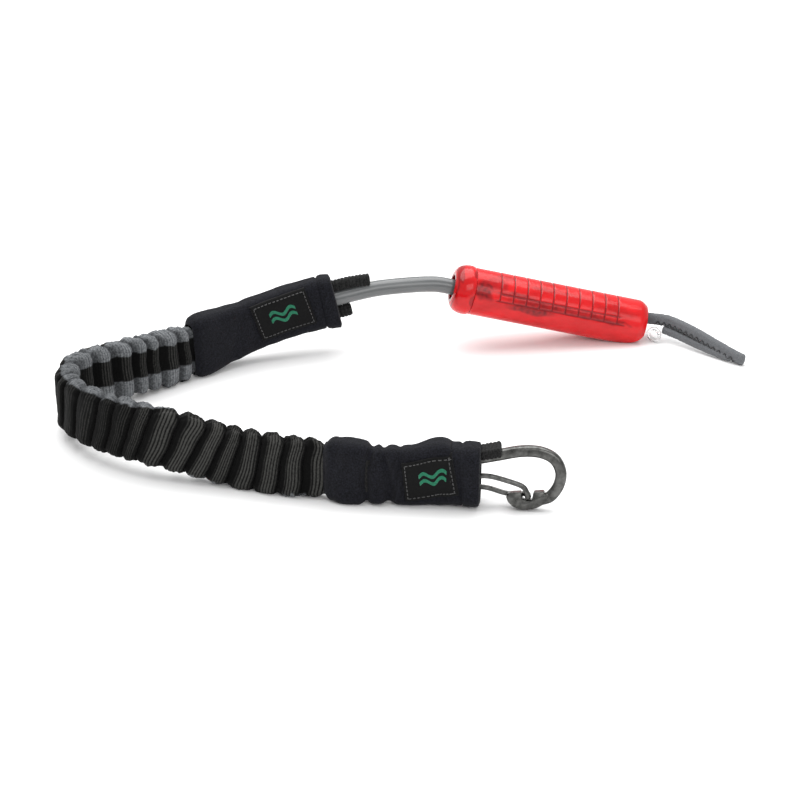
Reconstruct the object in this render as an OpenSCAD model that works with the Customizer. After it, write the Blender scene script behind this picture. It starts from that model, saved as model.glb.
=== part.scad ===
// Short kite safety leash: a crimped elastic strap with a neoprene cuff at each
// end, a wire-gate carabiner for the rider, and a quick-release sleeve on a
// semi-rigid leader tube for the kite's end loop. It lies on the ground as left
// by a rider: strap on its edge, tube arched, sleeve resting on its lower end.

/* [Strap] */
// Height of the gathered elastic strap, standing on its edge
strap_h = 33; // [30:1:35]
// Thickness of the gathered strap
strap_t = 11; // [10:0.5:12]
// Wall of the strap's woven sleeve
strap_wall = 2; // [1.5:0.5:2.5]
// Diameter of each elastic cord inside the strap
elastic_d = 5; // [4:0.5:6]

/* [Cuffs] */
// Wall of the neoprene cuffs
cuff_wall = 2; // [1.5:0.25:2.5]
// Thickness of the woven labels
label_t = 0.8; // [0.5:0.1:1]
// Length of one stitch
stitch_l = 2.4; // [1.5:0.1:3]

/* [Carabiner] */
// Diameter of the carabiner's stock
stock_d = 6; // [5.5:0.5:6]
// Diameter of the gate's wire
wire_d = 2.8; // [2.4:0.1:3]
// Width of the nose across the carabiner's plane
nose_t = 5; // [4:0.5:5]

/* [Leader] */
// Outer diameter of the leader tube
tube_d = 9.5; // [9:0.5:10]
// Bore of the leader tube
tube_bore = 5; // [4.5:0.5:5.5]
// Diameter of the leader line inside the tube
line_d = 4.5; // [3.5:0.5:4.5]

/* [Release sleeve] */
// Length of the release sleeve
sleeve_l = 118; // [116:1:120]
// Outer radius of the release sleeve
sleeve_r = 14; // [14:0.5:15]
// Number of grip grooves
grooves = 10; // [6:1:10]
// Distance between grip grooves
groove_step = 8; // [7:0.5:8]
// Depth of a grip groove
groove_depth = 0.9; // [0.5:0.1:1.2]
// Wire of the return spring
spring_wire = 1.4; // [1:0.1:1.6]

/* [Kite loop] */
// Height of the kite loop's webbing
loop_h = 6; // [5.5:0.5:6]
// Thickness of one strand of the kite loop
loop_t = 4; // [3:0.5:4.5]

/* [Hidden] */
$fn = 32;

// Moves the whole leash so that its footprint is centred on the origin
origin = [-0.7, -6.2, 0];

// Stations along the strap: x, y, height of its lower edge, thickness and height as shares
strap_route = [
    [-35, -96.5, 5, 0.5, 0.75], [-43, -94.5, 3.5, 0.55, 0.8], [-50, -92.8, 1, 0.8, 0.95],
    [-60, -90.5, 0, 1, 1], [-73, -87.2, 0, 1, 1],
    [-88, -82, 0, 1, 1], [-104, -77.5, 2, 1, 1], [-120, -73.5, 5, 1, 1], [-136, -69, 7, 1, 1],
    [-150, -63, 8, 1, 1], [-163, -55, 8, 1, 1], [-174, -46, 8, 1, 1], [-183, -36, 7, 1, 1],
    [-189, -25, 6, 1, 1], [-191, -13, 6, 1, 1], [-188, -2, 5.5, 1, 1], [-181, 7, 5, 1, 1],
    [-172, 15, 4, 1, 1], [-161, 24, 3, 1, 1], [-149, 34, 2, 1, 1], [-138, 43, 1, 1, 1],
    [-130, 49.6, 1, 0.75, 0.9], [-122, 56.5, 4, 0.5, 0.75], [-115, 62.5, 5, 0.5, 0.75]];

// Stations along the front cuff: x, y, middle height, thickness, height
front_cuff_route = [
    [-44, -94.2, 17.5, 13, 34], [-36, -96.4, 17.5, 14, 35], [-24, -98.5, 17, 13, 34], [-10, -100, 16.5, 13, 32.5],
    [4, -100, 16.5, 14, 33], [14, -99.5, 17.5, 16, 35], [22, -99.5, 17, 17.8, 33.5], [28, -101, 17.6, 18, 33.4],
    [33, -101.5, 17.6, 18.4, 33.2]];

// Stations along the rear cuff: x, y, middle height, thickness, height
rear_cuff_route = [
    [-126, 53, 18.2, 13, 36], [-118, 60, 18.8, 14.5, 37], [-106, 69, 20.2, 14, 34.5], [-92, 77.5, 22.6, 13.5, 32],
    [-78, 83.5, 25.6, 14, 31.5], [-64, 88, 28.6, 14.5, 31.5], [-52, 90.5, 30.8, 15, 31.5], [-41, 92, 31.6, 15, 31]];

// Stations along the leader tube's middle line; the last stretch is straight, on the sleeve's axis
tube_route = [
    [-76, 84.3, 26.5], [-64, 88, 29], [-52, 90.5, 31.4], [-41, 92.2, 33.5], [-30, 94.2, 35.6], [-19, 96.2, 37.3],
    [-8, 97.5, 38.2], [3, 98.6, 38.7], [11, 99.3, 38.8], [17.8, 99.9, 38.3]];

// The release sleeve's rider end, and its slope and heading
sleeve_at = [25.7, 100.7, 36.4];
sleeve_pitch = 14;
sleeve_yaw = 5;
sleeve_axis = [cos(sleeve_pitch) * cos(sleeve_yaw), cos(sleeve_pitch) * sin(sleeve_yaw), -sin(sleeve_pitch)];
clamp_end = 22;

// Sleeve fittings, as distances along the sleeve from its rider end
cap_l = 12;
spigot_l = 5;
bore_r = 10.5;
flange_at = 13;
flange_t = 2.5;
shoulder_at = 46;
shoulder_t = 3;
mouth_bore_at = 84;
mouth_r = 9.5;
mouth_up = 2.5;
core_r = 5.8;
head_at = 88;
lip_l = 30;
lip_back = 4.5;
pivot_at = sleeve_l - 22;
pin_d = 3;
finger_at = sleeve_l - 3;

// The carabiner's lower left corner, its lean and heading
hook_at = [33, -106, 0.6];
hook_lean = 12;
hook_yaw = -5;

// The webbing's eye round the carabiner's left bar: its bore, lower edge and height
eye_r = 3.5;
eye_low = 15.5;
eye_h = 4;

// The webbing's upper edge, folded over the carabiner's bar: along, across, up, width and thickness
hood_top = [[-19, 0, 27.8, 5, 1.2], [-1, 0, 29.5, 5, 1.2], [2.5, 0, 30.3, 5.6, 1.2], [4.5, 0, 30.9, 10.4, 1.2],
    [14.5, 0, 33.2, 10.4, 1.2]];

// The carabiner's stock, in its own plane: along, up
hook_route = [
    [-6, 12], [-10.5, 12.4], [-12.6, 15], [-12.6, 20], [-10, 23.2], [1, 26], [13.5, 28.8], [25, 31.2],
    [34, 30.9], [41, 27.2], [43.8, 21], [42.8, 14.5], [39.5, 9], [34.5, 5]];
gate_pivot = [-6, 12.5];

// The gate's wire, in the carabiner's frame: along, across, up
gate_near = [[-6, -1, 12.5], [-6, -3, 12.5], [-4.2, -3.6, 13.8], [1, -4.1, 17.4], [9, -4.3, 18.1],
    [20, -4, 15.4], [26.4, -3.9, 13], [28.7, -3.9, 9.5], [28.9, -3.2, 7.2]];
gate_far = [[28.9, 3.2, 7.2], [25, 4.2, 7], [17.5, 4.3, 6.9], [7.8, 4.3, 9.4], [1, 4.1, 10],
    [-4.2, 3.6, 11.4], [-6, 3, 12.5], [-6, 1, 12.5]];

// The kite loop: its long strand from the jaw's finger to the fold, and its tail
loop_start = sleeve_at + finger_at * sleeve_axis + mouth_up * [0.241, 0.021, 0.97];
loop_out = [[0, 0, 0], [5, 0, -0.3], [11, -2, -0.8], [19, -6, -1.6], [31, -18, -3.4], [43, -29, -5.4],
    [54, -38, -7.1], [59, -42, -7.6]];
tail_out = [[16, -5, -8.4], [24, -12, -8.4], [33, -21, -8.4], [43, -30, -8.3], [52, -37, -8.1]];

function unit(v) = v / norm(v);
function xyz(r) = [r[0], r[1], r[2]];

// A smooth curve through the stations of a route, with n steps between two stations
function bend(a, b, c, d, t) =
    0.5 * (2 * b + (c - a) * t + (2 * a - 5 * b + 4 * c - d) * t * t + (3 * b - a - 3 * c + d) * t * t * t);
function smooth(p, n) = [
    for (i = [0 : len(p) - 2]) for (k = [0 : n - 1])
        bend(p[max(i - 1, 0)], p[i], p[i + 1], p[min(i + 2, len(p) - 1)], k / n),
    p[len(p) - 1]];

// A closed outline between an ellipse (soft = 1) and a rectangle (soft near 0)
function soft_sign(v, soft) = sign(v) * pow(abs(v), soft);
function outline(w, h, soft, n) = [
    for (i = [0 : n - 1]) let (q = 360 * (i + 0.5) / n)
        [w / 2 * soft_sign(cos(q), soft), h / 2 * soft_sign(sin(q), soft)]];

// The direction of a route at station i, and an outline's points standing across it
function heading(rows, i) = unit(xyz(rows[min(i + 1, len(rows) - 1)]) - xyz(rows[max(i - 1, 0)]));
function across(row, t, up, shape) = let (s = unit(cross(t, up)), u = cross(s, t))
    [for (q = shape) xyz(row) + q[0] * s + q[1] * u];

// One ring of points at every station of x, y, z, width and height
function rings(rows, up, soft, n) = [
    for (i = [0 : len(rows) - 1]) across(rows[i], heading(rows, i), up, outline(rows[i][3], rows[i][4], soft, n))];

// Triangles between ring a and ring b of n points each
function band(a, b, n) = [for (j = [0 : n - 1]) for (f = [
    [a * n + j, a * n + (j + 1) % n, b * n + (j + 1) % n], [a * n + j, b * n + (j + 1) % n, b * n + j]]) f];

// A solid through rings of points
module skin(all_rings) {
    n = len(all_rings[0]);
    last = len(all_rings) - 1;
    sides = [for (i = [0 : last - 1]) each band(i, i + 1, n)];
    start = [for (j = [1 : n - 2]) [0, j + 1, j]];
    finish = [for (j = [1 : n - 2]) [last * n, last * n + j, last * n + j + 1]];
    polyhedron(points = [for (r = all_rings) each r], faces = concat(start, sides, finish), convexity = 6);
}

// A hollow solid between outer rings and inner rings, open at both ends
module hollow_skin(outer, inner) {
    n = len(outer[0]);
    k = len(outer);
    out_sides = [for (i = [0 : k - 2]) each band(i, i + 1, n)];
    in_sides = [for (i = [0 : k - 2]) each band(k + i + 1, k + i, n)];
    polyhedron(points = [for (r = concat(outer, inner)) each r], convexity = 6,
        faces = concat(out_sides, in_sides, band(k, 0, n), band(k - 1, 2 * k - 1, n)));
}

// Sweeps an outline along stations of x, y, z, width and height; up is the side that stays up
module sweep(rows, up = [0, 0, 1], soft = 1, n = 12) {
    skin(rings(rows, up, soft, n));
}

// The same sweep with a wall of even thickness, open at both ends
module hollow_sweep(rows, wall, soft, n) {
    hollow_skin(rings(rows, [0, 0, 1], soft, n), rings(thinner(rows, wall), [0, 0, 1], soft, n));
}
function thinner(rows, by) = [for (r = rows) [r[0], r[1], r[2], r[3] - 2 * by, r[4] - 2 * by]];

// Stations of a round bar or wire of diameter d
function round_rows(p, d, n = 3) = [for (r = smooth(p, n)) [r[0], r[1], r[2], d, d]];

// Stations of the strap
function strap_rows() = [for (r = smooth(strap_route, 3))
    [r[0], r[1], r[2] + strap_h * r[4] / 2, strap_t * r[3], strap_h * r[4]]];

// Part of a list of stations
function part(rows, a, b) = [for (i = [a : b]) rows[i]];

// Puts children in the sleeve's frame: +X from the rider end to the mouth
module on_sleeve() {
    translate(origin + sleeve_at) rotate([0, sleeve_pitch, sleeve_yaw]) children();
}

// Puts children in the carabiner's frame: +X away from the strap, Y across its plane
module on_hook() {
    translate(origin + hook_at) rotate([-hook_lean, 0, hook_yaw]) children();
}

// Turns an outline of radius and distance about the sleeve's axis
module turned(profile) {
    rotate([0, 90, 0]) rotate_extrude($fn = 64) polygon(profile);
}

// A cylinder along X between two distances
module rod(r, a, b) {
    translate([a, 0, 0]) rotate([0, 90, 0]) cylinder(r = r, h = b - a, $fn = 64);
}

// The nose: a flat hook with a notch for the gate's wire and a step behind it
module nose_outline() {
    polygon([[36.5, 2], [33, 0.4], [29, 0], [24, 0], [20.5, 1.6], [18, 4.8], [17.6, 6.8], [19.6, 9], [25.6, 9.4],
        [26.4, 5.2], [31.4, 5.2], [32, 9.2], [37, 9.2], [38.5, 10.5], [41, 9]]);
}

// The carabiner's forged frame: round stock with the nose at one end and the gate's boss at the other
module carabiner_frame() {
    bar = [for (p = hook_route) [p[0], 0, p[1]]];
    color("dimgray") on_hook() difference() {
        union() {
            sweep(round_rows(bar, stock_d, 4), [0, 1, 0], 1, 16);
            translate([0, nose_t / 2, 0]) rotate([90, 0, 0]) linear_extrude(nose_t) nose_outline();
            translate([gate_pivot[0], 2, gate_pivot[1]]) rotate([90, 0, 0]) cylinder(r = 3.4, h = 4);
        }
        translate([gate_pivot[0], 5, gate_pivot[1]]) rotate([90, 0, 0]) cylinder(d = wire_d + 0.5, h = 10);
    }
}

// The wire gate: two legs from the hinge, joined by a turn through the nose's notch
module gate_wire() {
    turn = [for (q = [0 : 30 : 180]) [28.9 + 0.5 * sin(q), -3.2 * cos(q), 7.2 - 0.2 * sin(q)]];
    legs = concat(part(smooth(gate_near, 3), 0, 23), turn, part(smooth(gate_far, 3), 1, 21));
    color("gray") on_hook() sweep([for (r = legs) [r[0], r[1], r[2], wire_d, wire_d]], [0.02, 0, 1], 1, 10);
}

// Webbing folded through the carabiner's eye, with its upper and lower edges standing out
module front_webbing_loop() {
    color("black") {
        translate(origin) translate([-13, -102.6, 6]) cube([17, 5, 22]);
        on_hook() {
            sweep(hood_top, [0, 0, 1], 0.4, 12);
            for (y = [-4.6, 4.6]) sweep([[4.5, y, 29, 1.2, 4], [14.5, y, 31.2, 1.2, 4]], [0, 0, 1], 0.4, 12);
            difference() {
                union() {
                    translate([-12.5, 0, eye_low]) cylinder(r = eye_r + 0.9, h = eye_h);
                    translate([-30, -2.5, eye_low]) cube([14, 5, eye_h]);
                }
                translate([-12.5, 0, eye_low - 1]) cylinder(r = eye_r, h = eye_h + 2);
            }
        }
    }
}

// Bar of tight stitches that closes the front webbing loop
module front_bartack() {
    color("black") translate(origin) for (i = [0 : 5])
        translate([-6 + 2.2 * i, -103.6, 9]) cube([1.1, 0.7, 16]);
}

// Neoprene cuff over the front joint
module front_cuff() {
    color([0.07, 0.07, 0.09]) translate(origin) hollow_sweep(smooth(front_cuff_route, 3), cuff_wall, 0.5, 20);
}

// How far a cuff's near face stands from its middle line, at a height above that line
function face_at(row, up) = row[3] / 2 * pow(1 - pow(abs(2 * up / row[4]), 4), 0.25);

// A label's outline at one station: it follows the cuff's face from low to high
function label_shape(row, low, high, from, to) = let (b = [for (i = [0 : 5]) low + (high - low) * i / 5])
    concat([for (v = b) [face_at(row, v) + to, v]], [for (i = [5 : -1 : 0]) [face_at(row, b[i]) + from, b[i]]]);

// A patch over stations a to b of a cuff, whose lower edge rises by slope at each station
module patch(rows, a, b, low, high, slope, from, to) {
    skin([for (i = [a : b]) across(rows[i], heading(rows, i), [0, 0, 1],
        label_shape(rows[i], low + slope * (i - a), high + slope * (i - a), from, to))]);
}

// A point on a cuff's face, at a station given as a share of the label's stations
function face_point(rows, a, b, share, up) = let (v = a + (b - a) * share, i = min(floor(v), b - 1), k = v - i,
        r = rows[i] * (1 - k) + rows[i + 1] * k, t = heading(rows, i))
    across(r, t, [0, 0, 1], [[face_at(r, up), up]])[0];

// Stitches round a label, a little inside its edge
module label_stitches(rows, a, b, low, high, slope, turn, wide) {
    nx = floor(wide / (stitch_l * 1.7));
    nz = floor((high - low) / (stitch_l * 1.7));
    lift = slope * (b - a);
    for (i = [0 : nx - 1]) for (v = [low + 1.5, high - 1.5]) let (k = 0.06 + 0.88 * (i + 0.5) / nx)
        translate(face_point(rows, a, b, k, v + lift * k)) rotate(turn)
            translate([0, -label_t - 0.7, 0]) cube([stitch_l, 0.5, 0.5], center = true);
    for (i = [0 : nz - 1]) for (k = [0.05, 0.95]) let (v = low + 1.5 + (high - low - 3) * (i + 0.5) / nz)
        translate(face_point(rows, a, b, k, v + lift * k)) rotate(turn)
            translate([0, -label_t - 0.7, 0]) cube([0.5, 0.5, stitch_l], center = true);
}

module front_label() {
    color([0.16, 0.16, 0.17]) translate(origin)
        patch(smooth(front_cuff_route, 6), 21, 39, -12.5, 10, 0.2, 0.2, label_t);
}

module front_label_stitching() {
    color([0.5, 0.5, 0.5]) translate(origin)
        label_stitches(smooth(front_cuff_route, 6), 21, 39, -12.5, 10, 0.2, [0, -4, -2], 28);
}

// The strap's woven sleeve, a plain outer form of its gathered folds
module bungee_sleeve() {
    color([0.1, 0.1, 0.1]) translate(origin) hollow_sweep(strap_rows(), strap_wall, 0.55, 16);
}

// Three elastic cords, one above the other, inside the strap
module elastic_cords() {
    rows = smooth([for (i = [2 : len(strap_route) - 4]) strap_route[i]], 2);
    color("ivory") translate(origin) for (z = [-8, 0, 8])
        sweep([for (r = rows) [r[0], r[1], r[2] + strap_h / 2 * r[4] + z, elastic_d, elastic_d]],
            [0, 0, 1], 1, 8);
}

// Neoprene cuff over the rear joint
module rear_cuff() {
    color([0.07, 0.07, 0.09]) translate(origin) hollow_sweep(smooth(rear_cuff_route, 3), cuff_wall, 0.5, 20);
}

module rear_label() {
    color([0.16, 0.16, 0.17]) translate(origin)
        patch(smooth(rear_cuff_route, 6), 21, 35, -12.5, 9.5, 0.1, 0.2, label_t);
}

module rear_label_stitching() {
    color([0.5, 0.5, 0.5]) translate(origin)
        label_stitches(smooth(rear_cuff_route, 6), 21, 35, -12.5, 9.5, 0.1, [0, -15, 16], 34);
}

// Puts children at the rear cuff's open end: +X along the tube, Z across the cuff
module at_rear_end() {
    translate(origin + [-41, 92.2, 33.5]) rotate([0, -11, 9]) children();
}

// Webbing folded over the leader line, with its upper and lower edges standing out
module rear_webbing_loop() {
    color("black") at_rear_end() {
        translate([-22, -2.6, 5]) cube([42, 5, 6.2]);
        translate([-20, -2.6, -12.6]) cube([26, 5, 7.2]);
    }
}

module rear_bartack() {
    color("black") at_rear_end() for (i = [0 : 5])
        translate([-16 + 2.2 * i, -3.3, 5.6]) cube([1.1, 0.7, 5]);
}

// Stations of the leader, from inside the rear cuff to a distance inside the sleeve
function leader_rows(d, end) = concat(round_rows(tube_route, d),
    [for (a = [0, end]) let (p = sleeve_at + a * sleeve_axis) [p[0], p[1], p[2], d, d]]);

module leader_tube() {
    color([0.35, 0.36, 0.37]) translate(origin)
        hollow_sweep(leader_rows(tube_d, clamp_end), (tube_d - tube_bore) / 2, 1, 16);
}

module leader_line() {
    color("gray") translate(origin) sweep(leader_rows(line_d, 38), [0, 0, 1], 1, 8);
}

// Clamp on the tube's end, with the flange that the return spring pushes on
module tube_clamp() {
    r = tube_d / 2;
    color("silver") on_sleeve() turned([[r, 8], [r + 1.4, 8], [r + 1.4, flange_at], [bore_r - 0.9, flange_at],
        [bore_r - 0.9, flange_at + flange_t], [r + 1.1, flange_at + flange_t], [r + 1.1, clamp_end], [r, clamp_end]]);
}

// The core that the sleeve slides on, with the fork for the jaw and the toe under it
module release_core() {
    color([0.8, 0.82, 0.82]) on_sleeve() difference() {
        union() {
            rod(core_r, clamp_end, head_at);
            translate([0, 0, mouth_up]) rod(mouth_r - 0.4, head_at, sleeve_l - 1);
        }
        rod(line_d / 2 + 0.2, clamp_end - 1, 39);
        translate([head_at + 2, -3.1, mouth_up - 5]) cube([40, 6.2, 20]);
        translate([pivot_at + 5.5, -12, mouth_up - 3.8]) cube([40, 24, 20]);
        translate([sleeve_l - 9, -12, -20]) rotate([0, -32, 0]) cube([30, 24, 12]);
        translate([pivot_at, 12, mouth_up]) rotate([90, 0, 0]) cylinder(d = pin_d, h = 24);
    }
}

// Outer radius and distance of each corner of the grip grooves
function groove_profile() = [for (i = [0 : grooves - 1]) let (a = 27 + i * groove_step)
    for (q = [[0, -0.6], [groove_depth, 0], [0, 0.6]]) [sleeve_r - q[0], a + q[1]]];

// The sliding release sleeve
module sleeve_shell() {
    profile = concat([[12, cap_l - spigot_l], [12, cap_l], [sleeve_r, cap_l]], groove_profile(),
        [[sleeve_r, sleeve_l - 5], [sleeve_r - 1.5, sleeve_l - 1.5], [sleeve_r - 2.2, sleeve_l],
        [5, sleeve_l], [5, mouth_bore_at], [bore_r, mouth_bore_at], [bore_r, shoulder_at + shoulder_t],
        [core_r + 1, shoulder_at + shoulder_t], [core_r + 1, shoulder_at], [bore_r, shoulder_at],
        [bore_r, cap_l - spigot_l]]);
    color("red") on_sleeve() difference() {
        turned(profile);
        translate([0, 0, mouth_up]) rod(mouth_r, mouth_bore_at - 1, sleeve_l + 1);
        difference() {
            translate([sleeve_l - lip_l, -20, -16]) cube([lip_l + 2, 40, 16]);
            translate([sleeve_l - lip_l, 0, 0]) scale([lip_l - lip_back, 1, sleeve_r]) rotate([90, 0, 0])
                cylinder(r = 1, h = 40, center = true, $fn = 64);
        }
    }
}

// Domed end cap, pressed over the sleeve's rider end
module sleeve_cap() {
    color("crimson") on_sleeve() turned([[7.4, 0], [8.8, 0], [11, 0.8], [13.2, 2.8], [14.4, 5.5], [14.8, 8.5],
        [14.6, 11], [14, cap_l], [12, cap_l], [12, cap_l - spigot_l], [7.4, cap_l - spigot_l]]);
}

// Return spring between the clamp's flange and the sleeve's shoulder
module sleeve_spring() {
    from = flange_at + flange_t + spring_wire / 2;
    to = shoulder_at - spring_wire / 2;
    turns = 7;
    steps = 12;
    rows = [for (i = [0 : turns * steps]) let (q = 360 * i / steps, k = i / (turns * steps))
        [from + (to - from) * k, 8.6 * cos(q), 8.6 * sin(q), spring_wire, spring_wire]];
    color("silver") on_sleeve() sweep(rows, [1, 0, 0], 1, 6);
}

// Hooked jaw that holds the kite loop while the sleeve covers it
module release_jaw() {
    color("silver") on_sleeve() translate([pivot_at, 0, mouth_up]) difference() {
        union() {
            translate([0, 2.7, 0]) rotate([90, 0, 0]) linear_extrude(5.4) {
                circle(r = 3.8);
                polygon([[-1, 3.6], [9, 5.3], [20.6, 5.3], [20.6, 3.3], [9.5, 3.3], [4, -0.8]]);
            }
            translate([17.5, -1.5, -3.5]) cube([3, 3, 7]);
        }
        translate([0, 6, 0]) rotate([90, 0, 0]) cylinder(d = pin_d + 0.1, h = 12);
    }
}

// The jaw's hinge pin, pressed into the core's fork
module jaw_pin() {
    color("gainsboro") on_sleeve() translate([pivot_at, 8.2, mouth_up]) rotate([90, 0, 0])
        cylinder(d = pin_d, h = 16.4);
}

// Stations of one strand of the kite loop
function loop_rows(p, t, h) = [for (r = smooth([for (q = p) loop_start + q], 3)) [r[0], r[1], r[2], t, h]];

// Grey webbing loop: an eye on the jaw's finger, a sewn double strand and a fold at its end
module kite_loop() {
    color("slategray") translate(origin) difference() {
        union() {
            sweep(loop_rows(loop_out, loop_t, loop_h), [0, 0, 1], 0.5, 12);
            sweep(loop_rows(tail_out, loop_t, 4.6), [0, 0, 1], 0.5, 12);
            translate(loop_start) rotate([0, sleeve_pitch, sleeve_yaw])
                cylinder(r = 5, h = loop_h, center = true, $fn = 40);
        }
        translate(loop_start) rotate([0, sleeve_pitch, sleeve_yaw])
            cylinder(r = 3.3, h = loop_h + 2, center = true, $fn = 40);
    }
}

// Zig-zag stitching along the loop's near face
module kite_loop_stitching() {
    rows = loop_rows(loop_out, loop_t, loop_h);
    color("black") translate(origin) for (i = [6 : 18])
        translate(xyz(rows[i])) rotate([0, 7, -43]) translate([0, -loop_t / 2 - 0.95, 0])
            rotate([0, i % 2 == 0 ? 40 : -40, 0]) cube([3.4, 0.5, 0.5], center = true);
}

// Clear plastic keeper under the loop
module loop_keeper() {
    color([0.9, 0.92, 0.92]) translate(origin + loop_start + [9, -7.5, -6.3]) rotate([90, 0, -30]) difference() {
        cylinder(r = 4.6, h = 3, center = true, $fn = 40);
        cylinder(r = 2.6, h = 4, center = true, $fn = 40);
    }
}

carabiner_frame();
gate_wire();
front_webbing_loop();
front_bartack();
front_cuff();
front_label();
front_label_stitching();
bungee_sleeve();
elastic_cords();
rear_cuff();
rear_label();
rear_label_stitching();
rear_webbing_loop();
rear_bartack();
leader_tube();
leader_line();
tube_clamp();
release_core();
sleeve_shell();
sleeve_cap();
sleeve_spring();
release_jaw();
jaw_pin();
kite_loop();
kite_loop_stitching();
loop_keeper();
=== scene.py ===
"""Looks of the kite safety leash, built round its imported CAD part.

Lengths are millimetres, as in the part's source, until mm() or add_mesh() turns them into metres.
"""
import math
import random

import bmesh
import bpy
from mathutils import Matrix, Vector, noise


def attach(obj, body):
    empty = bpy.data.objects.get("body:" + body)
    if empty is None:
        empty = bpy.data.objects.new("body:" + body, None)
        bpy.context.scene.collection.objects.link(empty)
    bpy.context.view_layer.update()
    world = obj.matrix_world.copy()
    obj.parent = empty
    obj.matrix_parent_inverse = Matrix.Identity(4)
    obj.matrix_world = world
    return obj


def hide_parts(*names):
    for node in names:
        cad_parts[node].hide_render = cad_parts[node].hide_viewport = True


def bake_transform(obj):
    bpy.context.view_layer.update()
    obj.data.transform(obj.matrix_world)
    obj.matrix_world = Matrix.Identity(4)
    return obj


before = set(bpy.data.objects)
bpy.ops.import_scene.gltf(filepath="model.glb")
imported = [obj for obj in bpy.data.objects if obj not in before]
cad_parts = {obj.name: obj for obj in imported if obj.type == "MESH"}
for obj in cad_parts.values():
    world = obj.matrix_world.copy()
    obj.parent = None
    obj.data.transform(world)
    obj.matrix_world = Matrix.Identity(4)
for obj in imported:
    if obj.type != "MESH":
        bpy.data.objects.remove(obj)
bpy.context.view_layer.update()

# -------- places shared with the part's source

# Added to every place, to bring the whole leash over the origin
ORIGIN = Vector((-0.7, -6.2, 0))

# Strap stations: x, y, lower edge's height, thickness and height as shares of the full ones
STRAP_ROUTE = [
    (-35, -96.5, 5, 0.5, 0.75), (-43, -94.5, 3.5, 0.55, 0.8), (-50, -92.8, 1, 0.8, 0.95),
    (-60, -90.5, 0, 1, 1), (-73, -87.2, 0, 1, 1), (-88, -82, 0, 1, 1), (-104, -77.5, 2, 1, 1),
    (-120, -73.5, 5, 1, 1), (-136, -69, 7, 1, 1), (-150, -63, 8, 1, 1), (-163, -55, 8, 1, 1),
    (-174, -46, 8, 1, 1), (-181.5, -36, 7, 1, 1), (-187, -25, 6, 1, 1), (-188.5, -13, 6, 1, 1),
    (-186, -2, 5.5, 1, 1), (-181, 7, 5, 1, 1), (-172, 15, 4, 1, 1), (-161, 24, 3, 1, 1),
    (-149, 34, 2, 1, 1), (-138, 43, 1, 1, 1), (-130, 49.6, 1, 0.85, 0.95),
    (-122, 56.5, 4, 0.55, 0.75), (-115, 62.5, 5, 0.5, 0.75)]
STRAP_H = 33
STRAP_T = 11

# Cuff stations: x, y, middle height, thickness, height
FRONT_CUFF_ROUTE = [
    (-44, -94.2, 17.5, 13, 34), (-36, -96.4, 17.5, 14, 35), (-24, -98.5, 17, 13, 34),
    (-10, -100, 16.5, 13, 32.5), (4, -100, 16.5, 14, 33), (14, -99.5, 17.5, 16, 35),
    (22, -99.5, 17, 17.8, 33.5), (28, -101, 17.6, 18, 33.4), (36.5, -101.8, 17.6, 18, 32.8)]
REAR_CUFF_ROUTE = [
    (-126, 53, 18.2, 13, 36), (-118, 60, 18.8, 14.5, 37), (-106, 69, 20.2, 14, 34.5),
    (-92, 77.5, 22.6, 13.5, 32), (-78, 83.5, 25.6, 14, 31.5), (-64, 88, 28.6, 14.5, 31.5),
    (-52, 90.5, 30.8, 15, 31.5), (-41, 92, 31.6, 15, 31)]
CUFF_WALL = 2

# The leader tube's middle line, the point where it leaves the rear cuff, and the number of the point
# where the tube that is drawn here starts, inside that cuff
TUBE_ROUTE = [
    (-76, 84.3, 26.5), (-64, 88, 29), (-52, 90.5, 31.4), (-41, 92.2, 33.5), (-30, 94.2, 35.6),
    (-19, 96.2, 37.3), (-8, 97.5, 38.2), (3, 98.6, 38.7), (11, 99.3, 38.8), (17.8, 99.9, 38.3)]
TUBE_EXIT = TUBE_ROUTE[3]
TUBE_FIRST = 2
TUBE_D = 9.5

# The release sleeve's rider end, pitch and yaw in degrees, length and radius, and its cap's length
SLEEVE_AT = Vector((25.7, 100.7, 36.4))
SLEEVE_PITCH = 14
SLEEVE_YAW = 5
SLEEVE_L = 118
SLEEVE_R = 14
CAP_L = 12

# The carabiner's corner, lean and heading in degrees, and its stock's route in its own plane
HOOK_AT = Vector((33, -106, 0.6))
HOOK_LEAN = -12
HOOK_YAW = -5
HOOK_ROUTE = [
    (-6, 12), (-10.5, 12.4), (-12.6, 15), (-12.6, 20), (-10, 23.2), (1, 26), (13.5, 28.8), (25, 31.2),
    (35, 31), (42.3, 27.6), (45.8, 21), (45, 13.8), (41, 7.6), (35.2, 4.4)]

# The kite loop: the finger it hangs on, how far the sleeve's mouth is raised, long strand and tail
FINGER_AT = SLEEVE_L - 3
MOUTH_UP = 2.5
LOOP_OUT = [
    (0, 0, 0), (5, 0, 0.8), (11, -1.5, 0.8), (19, -5.5, 0.8), (31, -17, -0.6), (43, -28.5, -3.6),
    (54, -38, -6.6), (59, -42, -7.6)]
TAIL_OUT = [(15, -5, -4.4), (24, -12.5, -5.4), (33, -21, -6.6), (43, -30, -7.6), (52, -37, -8.1)]


def mm(*values):
    """Millimetres as a point in metres."""
    return Vector(values) * 0.001


def place(at, pitch, yaw, lean=0):
    """The matrix of a tilted part's own frame, in millimetres."""
    turn = Matrix.Rotation(math.radians(yaw), 4, "Z") @ Matrix.Rotation(math.radians(pitch), 4, "Y")
    return Matrix.Translation(ORIGIN + at) @ turn @ Matrix.Rotation(math.radians(lean), 4, "X")


SLEEVE = place(SLEEVE_AT, SLEEVE_PITCH, SLEEVE_YAW)
HOOK = place(HOOK_AT, 0, HOOK_YAW, HOOK_LEAN)
LOOP_START = SLEEVE @ Vector((FINGER_AT, 0, MOUTH_UP))

# -------- camera, light and floor

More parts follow.
